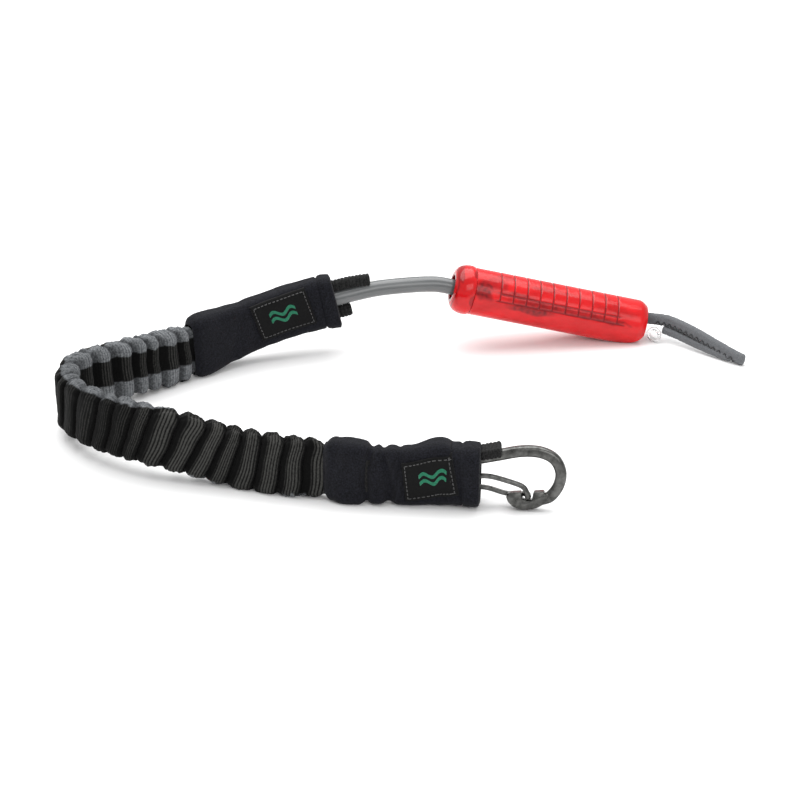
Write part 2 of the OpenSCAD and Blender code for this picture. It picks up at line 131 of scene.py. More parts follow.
EYE = mm(-5.7, -1331.4, 657.6)
LOOK_AT = mm(-5.7, 16.8, 0)
LENS = 118.44
SENSOR = 36
FLOOR_HALF = 3.0


def add_camera():
    data = bpy.data.cameras.new("camera")
    data.lens = LENS
    data.sensor_width = SENSOR
    camera = bpy.data.objects.new("camera", data)
    camera.location = EYE
    camera.rotation_euler = (LOOK_AT - EYE).to_track_quat("-Z", "Y").to_euler()
    bpy.context.scene.collection.objects.link(camera)
    bpy.context.scene.camera = camera


def add_softbox(name, at, aim, size, power):
    """A rectangular area light at one place, aimed at another."""
    data = bpy.data.lights.new(name, "AREA")
    data.shape = "RECTANGLE"
    data.size, data.size_y = size
    data.energy = power
    lamp = bpy.data.objects.new(name, data)
    lamp.location = at
    lamp.rotation_euler = (Vector(aim) - Vector(at)).to_track_quat("-Z", "Y").to_euler()
    bpy.context.scene.collection.objects.link(lamp)


def add_world(strength):
    """Even white light from all round, with colours shown as they are."""
    world = bpy.data.worlds.new("studio")
    world.use_nodes = True
    background = world.node_tree.nodes["Background"]
    background.inputs["Color"].default_value = (1, 1, 1, 1)
    background.inputs["Strength"].default_value = strength
    bpy.context.scene.world = world
    bpy.context.scene.view_settings.view_transform = "Standard"


def add_floor():
    mesh = bpy.data.meshes.new("floor")
    corners = [(x * FLOOR_HALF, y * FLOOR_HALF, 0) for x, y in ((-1, -1), (1, -1), (1, 1), (-1, 1))]
    mesh.from_pydata(corners, [], [(0, 1, 2, 3)])
    mesh.materials.append(floor_paint())
    floor = bpy.data.objects.new("floor", mesh)
    bpy.context.scene.collection.objects.link(floor)


# -------- curves and meshes

FLOOR_GAP = 0.05


def smooth(rows, n):
    """A Catmull-Rom curve through rows of numbers, with n steps between two rows."""
    out = []
    last = len(rows) - 1
    for i in range(last):
        a, b, c, d = rows[max(i - 1, 0)], rows[i], rows[i + 1], rows[min(i + 2, last)]
        for k in range(n):
            t = k / n
            out.append([0.5 * (2 * q + (r - p) * t + (2 * p - 5 * q + 4 * r - s) * t * t
                               + (3 * q - p - 3 * r + s) * t ** 3) for p, q, r, s in zip(a, b, c, d)])
    out.append(list(rows[last]))
    return out


def resample(rows, step):
    """The same route with stations every step, each with its distance along the route added at its end."""
    length = [0]
    for a, b in zip(rows, rows[1:]):
        length.append(length[-1] + (Vector(b[:3]) - Vector(a[:3])).length)
    count = max(2, round(length[-1] / step))
    out = []
    j = 0
    for i in range(count + 1):
        s = length[-1] * i / count
        while j < len(rows) - 2 and length[j + 1] < s:
            j += 1
        t = (s - length[j]) / max(length[j + 1] - length[j], 1e-9)
        out.append([p + (q - p) * t for p, q in zip(rows[j], rows[j + 1])] + [s])
    return out


def stand(rows, up=Vector((0, 0, 1))):
    """Each station's place, sideways direction and upward direction; sideways is to the right of travel."""
    out = []
    for i, row in enumerate(rows):
        ahead = Vector(rows[min(i + 1, len(rows) - 1)][:3]) - Vector(rows[max(i - 1, 0)][:3])
        ahead.normalize()
        side = ahead.cross(up).normalized()
        out.append((Vector(row[:3]), side, side.cross(ahead)))
    return out


def add_mesh(name, verts, faces, material):
    """A smooth mesh from points in millimetres, none of them below the floor."""
    placed = [(v[0] + ORIGIN.x, v[1] + ORIGIN.y, max(v[2] + ORIGIN.z, FLOOR_GAP)) for v in verts]
    mesh = bpy.data.meshes.new(name)
    mesh.from_pydata(placed, [], faces)
    mesh.transform(Matrix.Scale(0.001, 4))
    for polygon in mesh.polygons:
        polygon.use_smooth = True
    mesh.materials.append(material)
    obj = bpy.data.objects.new(name, mesh)
    bpy.context.scene.collection.objects.link(obj)
    return obj


def band_faces(a, b, n):
    """Quads between ring a and ring b of n points."""
    return [(a * n + j, a * n + (j + 1) % n, b * n + (j + 1) % n, b * n + j) for j in range(n)]


def skin(rings, capped=True):
    """Points and faces of a solid through rings: capped at both ends, or else joined end to end."""
    n = len(rings[0])
    last = len(rings) - 1
    verts = [p for ring in rings for p in ring]
    faces = [f for i in range(last) for f in band_faces(i, i + 1, n)]
    if capped:
        faces.append(tuple(range(n - 1, -1, -1)))
        faces.append(tuple(range(last * n, last * n + n)))
    else:
        faces += band_faces(last, 0, n)
    return verts, faces


def mend(obj):
    """Faces turned outwards."""
    work = bmesh.new()
    work.from_mesh(obj.data)
    bmesh.ops.recalc_face_normals(work, faces=work.faces)
    work.to_mesh(obj.data)
    work.free()
    return obj


def solid(name, rings, material, capped=True):
    """The closed skin through rings, as a piece."""
    return mend(add_mesh(name, *skin(rings, capped), material))


def join(name, pieces):
    """Several objects as one."""
    with bpy.context.temp_override(active_object=pieces[0], selected_editable_objects=pieces):
        bpy.ops.object.join()
    pieces[0].name = name
    return pieces[0]


def rounded(w, h, r, n):
    """Points round a rectangle with round corners, evenly spaced: x, z and the outward direction."""
    r = min(r, w / 2 - 0.01, h / 2 - 0.01)
    side, top, arc = h - 2 * r, w - 2 * r, math.pi * r / 2
    legs = [side, arc, top, arc, side, arc, top, arc]
    total = sum(legs)
    out = []
    for i in range(n):
        d = (total * i / n + side / 2) % total
        leg = 0
        while d > legs[leg]:
            d -= legs[leg]
            leg += 1
        turn = math.radians(90 * (leg // 2))
        if leg % 2 == 0:
            x, z, q = (w / 2, d - side / 2, 0) if leg in (0, 4) else (h / 2, d - top / 2, 0)
        else:
            q = d / r
            far, wide = (w / 2, h / 2) if leg in (1, 5) else (h / 2, w / 2)
            x, z = far - r + r * math.cos(q), wide - r + r * math.sin(q)
        c, s = math.cos(turn), math.sin(turn)
        out.append((x * c - z * s, x * s + z * c, math.cos(q + turn), math.sin(q + turn)))
    return out


def round_angles(n):
    """n angles evenly round a circle, in radians."""
    return [2 * math.pi * k / n for k in range(n)]


def tube_rings(rows, d, sides, up=Vector((0, 0, 1))):
    """Round rings of diameter d along a route."""
    out = []
    for at, side, rise in stand(rows, up):
        out.append([at + side * (d / 2 * math.cos(q)) + rise * (d / 2 * math.sin(q))
                    for q in round_angles(sides)])
    return out


def paint(obj, name, values):
    """A number at each point, for the material to read."""
    layer = obj.data.attributes.new(name, "FLOAT", "POINT")
    layer.data.foreach_set("value", values)


def ramp(x, low, high):
    """0 below low, 1 above high, smooth between."""
    t = min(max((x - low) / (high - low), 0), 1)
    return t * t * (3 - 2 * t)


def ridge(x, at, wide):
    """1 at the place called at, falling off smoothly on both sides over about the distance wide."""
    return math.exp(-((x - at) / wide) ** 2)


def fit(piece, body, slot, *nodes):
    """Puts a finished piece on its body and in place of its CAD nodes; slot is not used."""
    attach(piece, body)
    if nodes:
        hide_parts(*nodes)


# -------- materials


class Shader:
    """A Principled material with short helpers for its nodes."""

    # A Mix node's colour sockets
    MIX_A = 6
    MIX_B = 7
    MIX_RESULT = 2

    def __init__(self, name, **sockets):
        self.material = bpy.data.materials.new(name)
        self.material.use_nodes = True
        self.tree = self.material.node_tree
        self.main = self.tree.nodes["Principled BSDF"]
        for key, value in sockets.items():
            self.main.inputs[key.replace("_", " ")].default_value = value

    def node(self, kind, **values):
        """A new node; each value goes to the input of that name, or else to the setting."""
        made = self.tree.nodes.new(kind)
        for key, value in values.items():
            if key in made.inputs:
                made.inputs[key].default_value = value
            else:
                setattr(made, key, value)
        return made

    def link(self, out, into):
        self.tree.links.new(out, into)

    def place(self, scale=(1, 1, 1)):
        """The point on the piece, with each axis scaled."""
        spots = self.node("ShaderNodeTexCoord")
        mapping = self.node("ShaderNodeMapping")
        mapping.inputs["Scale"].default_value = scale
        self.link(spots.outputs["Object"], mapping.inputs["Vector"])
        return mapping.outputs["Vector"]

    def noise(self, scale, detail=2.0, stretch=(1, 1, 1)):
        made = self.node("ShaderNodeTexNoise", Scale=scale, Detail=detail)
        self.link(self.place(stretch), made.inputs["Vector"])
        return made.outputs["Fac"]

    def ramp(self, value, low, high, low_colour, high_colour):
        made = self.node("ShaderNodeValToRGB")
        made.color_ramp.elements[0].position = low
        made.color_ramp.elements[1].position = high
        made.color_ramp.elements[0].color = (*low_colour, 1)
        made.color_ramp.elements[1].color = (*high_colour, 1)
        self.link(value, made.inputs["Fac"])
        return made.outputs["Color"]

    def mix(self, share, first, second):
        """From first to second, each a colour or a node's output."""
        made = self.node("ShaderNodeMix", data_type="RGBA")
        self.link(share, made.inputs["Factor"])
        for colour, socket in ((first, made.inputs[self.MIX_A]), (second, made.inputs[self.MIX_B])):
            if isinstance(colour, tuple):
                socket.default_value = (*colour, 1)
            else:
                self.link(colour, socket)
        return made.outputs[self.MIX_RESULT]

    def painted(self, name):
        """The number painted on the piece's points under this name."""
        return self.node("ShaderNodeAttribute", attribute_name=name).outputs["Fac"]

    def math(self, operation, first, second):
        made = self.node("ShaderNodeMath", operation=operation)
        for value, socket in ((first, made.inputs[0]), (second, made.inputs[1])):
            if isinstance(value, (int, float)):
                socket.default_value = value
            else:
                self.link(value, socket)
        return made.outputs[0]

    def colour(self, out):
        self.link(out, self.main.inputs["Base Color"])

    def roughness(self, value, low, high):
        made = self.node("ShaderNodeMapRange")
        made.inputs["To Min"].default_value = low
        made.inputs["To Max"].default_value = high
        self.link(value, made.inputs["Value"])
        self.link(made.outputs["Result"], self.main.inputs["Roughness"])

    def bump(self, height, strength, depth_mm):
        """Adds relief on top of any that is there."""
        made = self.node("ShaderNodeBump", Strength=strength, Distance=depth_mm * 0.001)
        self.link(height, made.inputs["Height"])
        if self.main.inputs["Normal"].is_linked:
            self.link(self.main.inputs["Normal"].links[0].from_socket, made.inputs["Normal"])
        self.link(made.outputs["Normal"], self.main.inputs["Normal"])


def neoprene():
    """Knit-faced neoprene: navy-black, matt, with a fine speckle."""
    s = Shader("neoprene", Roughness=0.88, Specular_IOR_Level=0.16, Sheen_Weight=0.04, Sheen_Roughness=0.5)
    knit = s.noise(1300, 4)
    patch = s.noise(60, 2)
    fine = s.ramp(knit, 0.35, 0.72, (0.0006, 0.0007, 0.0016), (0.0145, 0.0152, 0.022))
    s.colour(s.mix(s.math("MULTIPLY", patch, 0.5), fine, (0.0035, 0.0035, 0.005)))
    s.bump(knit, 0.6, 0.3)
    s.bump(s.noise(420, 3), 0.45, 0.5)
    return s.material


def woven_strap():
    """Gathered elastic webbing: black, with dark grey rib lines made brighter by painted light on the folds,
    and light grey where it is painted grey.
    """
    s = Shader("woven_strap", Roughness=0.9, Specular_IOR_Level=0.1, Sheen_Weight=0.03, Sheen_Roughness=0.5)
    # The painted rib values are the rib lines with painted light: brighter on fold crests and on the lit side
    # of each fold.
    rib = s.painted("rib")
    yarn = s.noise(1000, 4)
    ribbed_black = s.math("MULTIPLY", rib, s.math("ADD", yarn, 0.45))
    ribbed_grey = s.math("MULTIPLY", s.math("ADD", rib, 0.5), yarn)
    black = s.ramp(ribbed_black, 0.35, 0.95, (0.0008, 0.0008, 0.0008), (0.05, 0.05, 0.047))
    grey = s.ramp(ribbed_grey, 0.2, 0.8, (0.035, 0.037, 0.04), (0.215, 0.225, 0.235))
    s.colour(s.mix(s.painted("grey"), black, grey))
    s.bump(yarn, 0.5, 0.35)
    return s.material


def webbing(name, dark, light, scale=1100):
    """Tight narrow webbing."""
    s = Shader(name, Roughness=0.85, Specular_IOR_Level=0.15, Sheen_Weight=0.04, Sheen_Roughness=0.5)
    yarn = s.noise(scale, 3)
    s.colour(s.ramp(yarn, 0.3, 0.75, dark, light))
    s.bump(yarn, 0.6, 0.3)
    return s.material


def woven_label():
    """Dark label cloth with a fine square weave."""
    s = Shader("woven_label", Roughness=0.8, Specular_IOR_Level=0.15, Sheen_Weight=0.03, Sheen_Roughness=0.5)
    waves = []
    for across in ((1, 0, 0.4), (0, 0, 1)):
        made = s.node("ShaderNodeTexWave", Scale=620.0, Distortion=1.5)
        s.link(s.place(across), made.inputs["Vector"])
        waves.append(made.outputs["Fac"])
    weave = s.math("MULTIPLY", waves[0], waves[1])
    s.colour(s.ramp(weave, 0.0, 0.9, (0.003, 0.003, 0.0032), (0.012, 0.012, 0.0125)))
    s.bump(weave, 0.4, 0.15)
    return s.material


def thread(name, dark, light):
    """Twisted sewing thread."""
    s = Shader(name, Roughness=0.75, Sheen_Weight=0.3, Sheen_Roughness=0.4)
    twist = s.noise(3000, 1)
    s.colour(s.ramp(twist, 0.3, 0.7, dark, light))
    s.bump(twist, 0.4, 0.1)
    return s.material


def steel(name, dark, light, low, high, scale=900):
    """Worn satin steel."""
    s = Shader(name, Metallic=1.0)
    wear = s.noise(scale, 4)
    s.colour(s.ramp(wear, 0.3, 0.7, dark, light))
    s.roughness(wear, low, high)
    s.bump(wear, 0.05, 0.05)
    return s.material


def tube_plastic():
    """Smooth grey tube."""
    s = Shader("tube_plastic", Roughness=0.2, Coat_Weight=0.3, Coat_Roughness=0.08)
    haze = s.noise(120, 2, (0.3, 1, 1))
    s.colour(s.ramp(haze, 0.3, 0.7, (0.085, 0.09, 0.092), (0.125, 0.13, 0.132)))
    s.roughness(haze, 0.16, 0.3)
    s.bump(haze, 0.05, 0.1)
    return s.material


def red_plastic():
    """Clear red polyurethane; painted darker red in patches, and painted shade in the grooves, the cut lines,
    the cap's crease ring and round its hole.
    """
    s = Shader("red_plastic", Subsurface_Weight=0.3, Subsurface_Scale=0.004, Subsurface_Radius=(1, 0.12, 0.1),
               IOR=1.45, Specular_IOR_Level=0.35, Coat_Weight=0.1, Coat_Roughness=0.07)
    cloud = s.noise(110, 3, (0.5, 1, 1))
    skin_red = s.ramp(cloud, 0.3, 0.7, (0.46, 0.002, 0.004), (0.68, 0.008, 0.011))
    # Darker red: patches painted on the sleeve, and painted shade in the cap's crease ring and round its
    # hole.
    under = s.mix(s.painted("under"), skin_red, (0.15, 0.0, 0.002))
    # Painted shade: the grooves and long cut lines are painted darker red by their depth.
    s.colour(s.mix(s.painted("line"), under, (0.17, 0.0, 0.003)))
    s.roughness(cloud, 0.1, 0.28)
    s.bump(s.noise(160, 3, (0.6, 1, 1)), 0.16, 0.4)
    return s.material


def clear_plastic():
    """Slightly hazy clear plastic."""
    s = Shader("clear_plastic", Transmission_Weight=0.9, IOR=1.45)
    haze = s.noise(400, 2)
    s.colour(s.ramp(haze, 0.3, 0.7, (0.86, 0.87, 0.87), (0.95, 0.95, 0.95)))
    s.roughness(haze, 0.08, 0.18)
    return s.material


def moulded_plastic():
    """Pale moulded plastic with a fine grain."""
    s = Shader("moulded_plastic", Roughness=0.45)
    grain = s.noise(700, 3)
    s.colour(s.ramp(grain, 0.3, 0.7, (0.55, 0.56, 0.56), (0.66, 0.67, 0.67)))
    s.bump(grain, 0.1, 0.1)
    return s.material


def floor_paint():
    """Nearly even white paint."""
    s = Shader("floor_paint", Roughness=0.9)
    s.colour(s.ramp(s.noise(3, 2), 0.3, 0.7, (0.90, 0.90, 0.90), (0.92, 0.92, 0.92)))
    return s.material


NEOPRENE = neoprene()
STRAP = woven_strap()
WEBBING = webbing("black_webbing", (0.003, 0.003, 0.003), (0.024, 0.024, 0.024))
GREY_WEBBING = webbing("grey_webbing", (0.085, 0.09, 0.095), (0.175, 0.18, 0.19), 2400)
LABEL = woven_label()
PALE_THREAD = thread("pale_thread", (0.012, 0.012, 0.012), (0.09, 0.09, 0.09))
BLACK_THREAD = thread("black_thread", (0.008, 0.008, 0.009), (0.03, 0.03, 0.032))
GREEN_THREAD = thread("green_thread", (0.0, 0.10, 0.05), (0.004, 0.20, 0.10))
HOOK_STEEL = steel("hook_steel", (0.05, 0.05, 0.048), (0.14, 0.14, 0.135), 0.22, 0.36, 320)
PLAIN_STEEL = steel("plain_steel", (0.3, 0.3, 0.3), (0.5, 0.5, 0.5), 0.2, 0.4)
TUBE = tube_plastic()
RED = red_plastic()
CLEAR = clear_plastic()
MOULDED = moulded_plastic()
ELASTIC = webbing("elastic", (0.3, 0.28, 0.22), (0.55, 0.52, 0.42))

# -------- leader tube, the only free cord


def add_leader_tube():
    """The tube, from inside the rear cuff to the clamp in the sleeve."""
    axis = SLEEVE.to_3x3() @ Vector((1, 0, 0))
    ends = [tuple(SLEEVE_AT + axis * a) for a in (0, 11, 22)]
    rows = resample(smooth(TUBE_ROUTE[TUBE_FIRST:] + ends, 8), 1.0)
    tube = solid("leader_hose", tube_rings(rows, TUBE_D, 40), TUBE)
    fit(tube, "rear_strap", "tube", "leader_tube")


# -------- gathered strap

FOLD_STEP = 12.2
FOLD_DEPTH = 3.3
RIBS_PER_FOLD = 8
STRAP_STEP = 0.45
STRAP_SIDES = 132
STRAP_WALL = 1.2
STRAP_CORNER = 0.42
STRAP_SEED = 11
ELASTIC_D = 4
ELASTIC_GAP = 8

# Distances along the strap between which the bend begins, and ends
BEND_STARTS = (95, 125)
BEND_ENDS = (185, 215)


def fold_marks(length, seed):
    """Where each fold of the gathered strap ends, and how far it stands out."""
    draw = random.Random(seed)
    marks = [-20.0]
    while marks[-1] < length + 30:
        marks.append(marks[-1] + FOLD_STEP * draw.uniform(0.72, 1.34))
    return marks, [draw.uniform(0.8, 1.2) for _ in marks]


def fold_at(marks, s):
    """The fold at distance s: its number and the share of it that is passed."""
    i = 0
    while marks[i + 1] < s:
        i += 1
    return i, (s - marks[i]) / (marks[i + 1] - marks[i])


def puff(t, crest):
    """A fold's rounded rise between two sharp creases, highest at the share called crest."""
    bend = math.log(0.5) / math.log(crest)
    return math.sin(math.pi * t ** bend) ** 0.55


def bend_share(s):
    """1 in the bend, 0 on the two straighter runs."""
    return ramp(s, *BEND_STARTS) * ramp(-s, -BEND_ENDS[1], -BEND_ENDS[0])


def grey_share(s, x, high, small):
    """How grey the weave is: two borders on the inner face, carried over the edge at the bend."""
    bend = ramp(s, 88, 120)
    over_edge = -0.35 + 1.25 * bend if high > 0 else 0.1 - 0.3 * bend
    inner = ramp(x / (STRAP_T / 2) + over_edge + 0.35 * small, 0.25, 0.45)
    border = max(ramp(high + 0.06 * small, 0.6, 0.64), ramp(-high + 0.06 * small, 0.3, 0.34))
    fleck = ramp(noise.noise(Vector((s * 0.06, 5, 2))), 0.02, 0.12) * ramp(-s, -92, -82)
    return max(inner * border, fleck * ramp(-high + 0.2 * small, 0.86, 0.94))


def strap_point(at, side, rise, spot, row, marks, sizes):
    """One point of the gathered strap, its rib shade with painted fold light, and its grey share."""
    x, z, nx, nz = spot
    s, full = row[-1], min(row[3], 1)
    high = z / (STRAP_H / 2)
    lean = 2.6 * ramp(s, 10, 75) + 0.6
    wave = 1.1 * noise.noise(Vector((s * 0.05, high * 1.2, nx * 0.6 + 7)))
    i, t = fold_at(marks, s + lean * high + 2.2 * high * abs(high) * (-nx) + wave)
    swell = puff(min(max(t, 1e-4), 1 - 1e-4), 0.5 + 0.17 * nx)
    rib = abs(math.sin(math.pi * RIBS_PER_FOLD * t)) ** 0.8
    small = noise.noise(Vector((s * 0.32, z * 0.22, nx * 2 + 3)))
    tiny = noise.noise(Vector((s * 0.9, z * 0.7, nx * 3 + 6)))
    edge = abs(nz) ** 2
    size = sizes[i] * (0.55 + 0.45 * abs(nx))
    fold = FOLD_DEPTH * size * (swell - 0.68)
    out = full * (fold + 0.25 * rib + small * (0.25 + 1.1 * edge) + 0.5 * tiny * edge)
    point = at + side * (x + nx * out) + rise * (z + nz * out)
    # Painted light on the rib lines: brighter on fold crests and bigger folds, dimmer in the bend, and on the
    # outer face lit on each fold's first part and dark before its crease.
    lit = ramp(1 - t, 0.12, 0.42) * (0.5 + 0.5 * sizes[i]) if nx < 0 else 0.75
    shade = rib * ramp(swell, 0.35, 0.95) * lit * (1 - 0.4 * bend_share(s))
    return point, shade, grey_share(s, x, high, small)


def strap_ring(stood, row, marks, sizes, rib_and_fold_light, greys):
    """One ring of the gathered strap; its rib shades, which hold painted fold light, and its grey shares are
    added to the two lists.
    """
    ring = []
    w, h = STRAP_T * row[3], STRAP_H * row[4]
    for spot in rounded(w, h, w * STRAP_CORNER, STRAP_SIDES):
        point, rib, grey = strap_point(*stood, spot, row, marks, sizes)
        ring.append(point)
        rib_and_fold_light.append(rib)
        greys.append(grey)
    return ring


def add_strap():
    """Tubular webbing gathered over its cords: the outer face and the inner one in one closed skin."""
    rows = [[r[0], r[1], r[2] + STRAP_H * r[4] / 2, r[3], r[4]] for r in smooth(STRAP_ROUTE, 8)]
    rows = resample(rows, STRAP_STEP)
    stands = list(zip(stand(rows), rows))
    marks, sizes = fold_marks(rows[-1][-1], STRAP_SEED)
    rings, rib_and_fold_light, greys = [], [], []
    for stood, row in stands:
        rings.append(strap_ring(stood, row, marks, sizes, rib_and_fold_light, greys))
    for stood, row in reversed(stands):
        at = stood[0]
        ring = strap_ring(stood, row, marks, sizes, rib_and_fold_light, greys)
        rings.append([p + (at - p) * STRAP_WALL / max((at - p).length, STRAP_WALL) for p in ring])
    strap = add_mesh("gathered_strap", *skin(rings, capped=False), STRAP)
    # The rib values: rib lines with painted light and shade of the folds.
    paint(strap, "rib", rib_and_fold_light)
    paint(strap, "grey", greys)
    mend(strap)
    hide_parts("bungee_sleeve")
    stretch(strap)


def stretch(obj):
    """Moves the piece's place into the points of its mesh."""
    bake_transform(obj)


def add_elastic_cords():
    """Three sheathed elastic cords, one above the other, inside the strap."""
    rows = smooth([(r[0], r[1], r[2] + STRAP_H * r[4] / 2) for r in STRAP_ROUTE[2:-3]], 6)
    cords = []
    for up in (-ELASTIC_GAP, 0, ELASTIC_GAP):
        path = resample([(x, y, z + up) for x, y, z in rows], 0.8)
        cords.append(solid("cord", tube_rings(path, ELASTIC_D, 16), ELASTIC))
    core = join("elastic_core", cords)
    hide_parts("elastic_cords")
    stretch(core)


# -------- cuffs

CUFF_SIDES = 96
CUFF_STEP = 0.8
CUFF_CORNER = 0.36

# Folds across the front cuff: distance along, depth, width and lean
FRONT_FOLDS = [(23, 3.0, 2.1, 1.0), (33, 2.7, 2.0, -1.5), (37.5, 1.5, 1.7, 1.8), (5.5, 0.8, 2.2, 1.0)]


def front_creases(s, high, nx):
    """How far the front cuff's cloth stands off its plain form."""
    puffs = 1.0 * ridge(s, 13, 9) + 1.6 * ramp(high, 0.5, 1) * ridge(s, 61, 4.5)
    folds = 0.0
    for at, depth, wide, lean in FRONT_FOLDS:
        folds += depth * ridge(s, at + lean * high + 0.9 * math.sin(3 * high + at), wide)
    return puffs - folds * (0.55 + 0.45 * abs(nx))


def rear_creases(s, high, nx):
    """The same for the rear cuff, whose creases are alike all round."""
    folds = 0.5 * ridge(s, 30 + 6 * high, 4) + 0.35 * ridge(s, 44 - 5 * high, 3)
    return 0.5 * ridge(s, 9, 7) - folds


def hem(back):
    """The turned hem near a cuff's open end, back from it: a thick band and two sunk rows of thread."""
    band = 0.7 * ramp(-back, -8.2, -7.4)
    return band - (1.0 * ridge(back, 8.8, 0.6) + 0.6 * ridge(back, 6.8, 0.45))


class Cuff:
    """A sewn tube of neoprene: its stations, its creases, and how far its open end slants."""

    def __init__(self, route, creases, seed, slant):
        self.rows = resample(smooth(route, 8), CUFF_STEP)
        self.stands = stand(self.rows)
        self.length = self.rows[-1][-1]
        self.creases, self.seed, self.slant = creases, seed, slant

    def crumple(self, s, high, nx):
        """Broad, shallow unevenness of the cloth."""
        return 0.35 * noise.noise(Vector((s * 0.11, high * 1.6 + self.seed, nx * 1.3)))

    def ring(self, i, inset=0.0, tuck=0.0, beyond=0.0):
        """Points round station i, narrowed by tuck, set in by inset and moved beyond along the cuff."""
        at, side, rise = self.stands[i]
        s = self.rows[i][-1]
        w, h = (self.rows[i][c] - 2 * tuck for c in (3, 4))
        ahead = rise.cross(side)
        slant = self.slant * ramp(s, self.length - 22, self.length)
        out = []
        for x, z, nx, nz in rounded(w - 2 * inset, h - 2 * inset, w * CUFF_CORNER, CUFF_SIDES):
            high = z / (h / 2)
            fine = 0.12 * noise.noise(Vector((s * 0.45, high * 6, nx * 3 + self.seed)))
            d = self.creases(s, high, nx) + self.crumple(s, high, nx) + fine
            if inset == 0:
                d += hem(self.length - s)
            along = ahead * (beyond + slant * (z + h / 2))
            out.append(at + side * (x + nx * d) + rise * (z + nz * d) + along)
        return out

    def near_point(self, s, up, out):
        """A point on the near face, from the distance along and the height over the middle line."""
        k = min(max(s / self.length * (len(self.rows) - 1), 0), len(self.rows) - 1.001)
        i, t = int(k), k - int(k)
        (a, side, rise), (b, _, _) = self.stands[i], self.stands[i + 1]
        w, h = (self.rows[i][c] + (self.rows[i + 1][c] - self.rows[i][c]) * t for c in (3, 4))
        corner = w * CUFF_CORNER
        over = max(abs(up) - (h / 2 - corner), 0)
        x = w / 2 - corner + math.sqrt(max(corner * corner - over * over, 0))
        high = up / (h / 2)
        x += self.creases(s, high, 1) * 0.6 + self.crumple(s, high, 1) + 0.35
        return a.lerp(b, t) + side * (x + out) + rise * up


def add_cuff(name, node, body, cuff):
    """The cuff's outer face, rolled ends and inner face in one closed skin."""
    last = len(cuff.rows) - 1
    rings = [cuff.ring(i, tuck=3.0 * max(1 - row[-1] / 4.5, 0) ** 2) for i, row in enumerate(cuff.rows)]
    rings.append(cuff.ring(last, inset=CUFF_WALL / 2, beyond=0.9))
    rings.append(cuff.ring(last, inset=CUFF_WALL))
    rings += [cuff.ring(i, inset=CUFF_WALL) for i in reversed(range(0, last + 1, 2))]
    piece = solid(name, rings, NEOPRENE, capped=False)
    fit(piece, body, "neoprene", node)


# -------- labels

LABEL_SPLITS = (60, 44)
STITCH_INSET = 0.045
STITCHES_ALONG = 13
STITCHES_UP = 9
THREAD_UP = Vector((0.1, 1, 0.1))


def corner_mix(corners, u, v):
    """The place at shares u and v of a patch, whose corners go round from low left through low right."""
    (s0, u0), (s1, u1), (s2, u2), (s3, u3) = corners
    s = (s0 * (1 - u) + s1 * u) * (1 - v) + (s3 * (1 - u) + s2 * u) * v
    up = (u0 * (1 - u) + u1 * u) * (1 - v) + (u3 * (1 - u) + u2 * u) * v
    return s, up


def patch_grid(cuff, corners, out, ruffle=0.0):
    """Points of a patch on a cuff, row by row."""
    nx, nz = LABEL_SPLITS
    grid = []
    for j in range(nz + 1):
        for i in range(nx + 1):
            s, up = corner_mix(corners, i / nx, j / nz)
            lift = ruffle * noise.noise(Vector((s * 0.5, up * 0.5, 4)))
            grid.append(cuff.near_point(s, up, out + lift))
    return grid


def patch_faces():
    """Faces of a closed patch: its upper grid of points, its lower one, and the border between them."""
    nx, nz = LABEL_SPLITS
    row = nx + 1
    low = row * (nz + 1)
    faces = []
    for j in range(nz):
        for i in range(nx):
            a = j * row + i
            faces.append((a, a + 1, a + row + 1, a + row))
            faces.append((low + a, low + a + row, low + a + row + 1, low + a + 1))
    border = list(range(nx)) + [j * row + nx for j in range(nz)]
    border += [nz * row + i for i in range(nx, 0, -1)] + [j * row for j in range(nz, 0, -1)]
    for a, b in zip(border, border[1:] + border[:1]):
        faces.append((a, low + a, low + b, b))
    return faces


def add_label(name, nodes, body, cuff, corners):
    """The woven patch, its stitches and a plain mark of two waves."""
    points = patch_grid(cuff, corners, 0.75, 0.15) + patch_grid(cuff, corners, -0.4)
    fit(mend(add_mesh(name, points, patch_faces(), LABEL)), body, "label", nodes[0])
    fit(add_label_stitches(name + "_stitches", cuff, corners), body, "label_thread", nodes[1])
    fit(add_mark(name + "_mark", cuff, corners), body, "label")


def thread_run(cuff, corners, a, b):
    """Rings of one stitch between two places on the label."""
    rows = []
    for k in range(7):
        t = k / 6
        s, up = corner_mix(corners, a[0] + (b[0] - a[0]) * t, a[1] + (b[1] - a[1]) * t)
        rows.append(cuff.near_point(s, up, 0.72 + 0.28 * math.sin(math.pi * t)))
    return tube_rings(rows, 0.55, 8, THREAD_UP)


def add_threads(name, runs, material):
    """Several tubes of thread as one mesh."""
    verts, faces = [], []
    for rings in runs:
        v, f = skin(rings)
        faces += [tuple(len(verts) + i for i in face) for face in f]
        verts += v
    return mend(add_mesh(name, verts, faces, material))


def stitch_ends(k, count):
    """Where stitch k of count starts and ends, as shares of the label's side."""
    return [STITCH_INSET + (1 - 2 * STITCH_INSET) * (k + t) / count for t in (0.18, 0.72)]


def add_label_stitches(name, cuff, corners):
    """A row of small stitches just inside each edge of the label."""
    runs = []
    for k in range(STITCHES_ALONG):
        a, b = stitch_ends(k, STITCHES_ALONG)
        for v in (STITCH_INSET + 0.02, 1 - STITCH_INSET - 0.02):
            runs.append(thread_run(cuff, corners, (a, v), (b, v)))
    for k in range(STITCHES_UP):
        a, b = stitch_ends(k, STITCHES_UP)
        for u in (STITCH_INSET, 1 - STITCH_INSET):
            runs.append(thread_run(cuff, corners, (u, a), (u, b)))
    return add_threads(name, runs, PALE_THREAD)


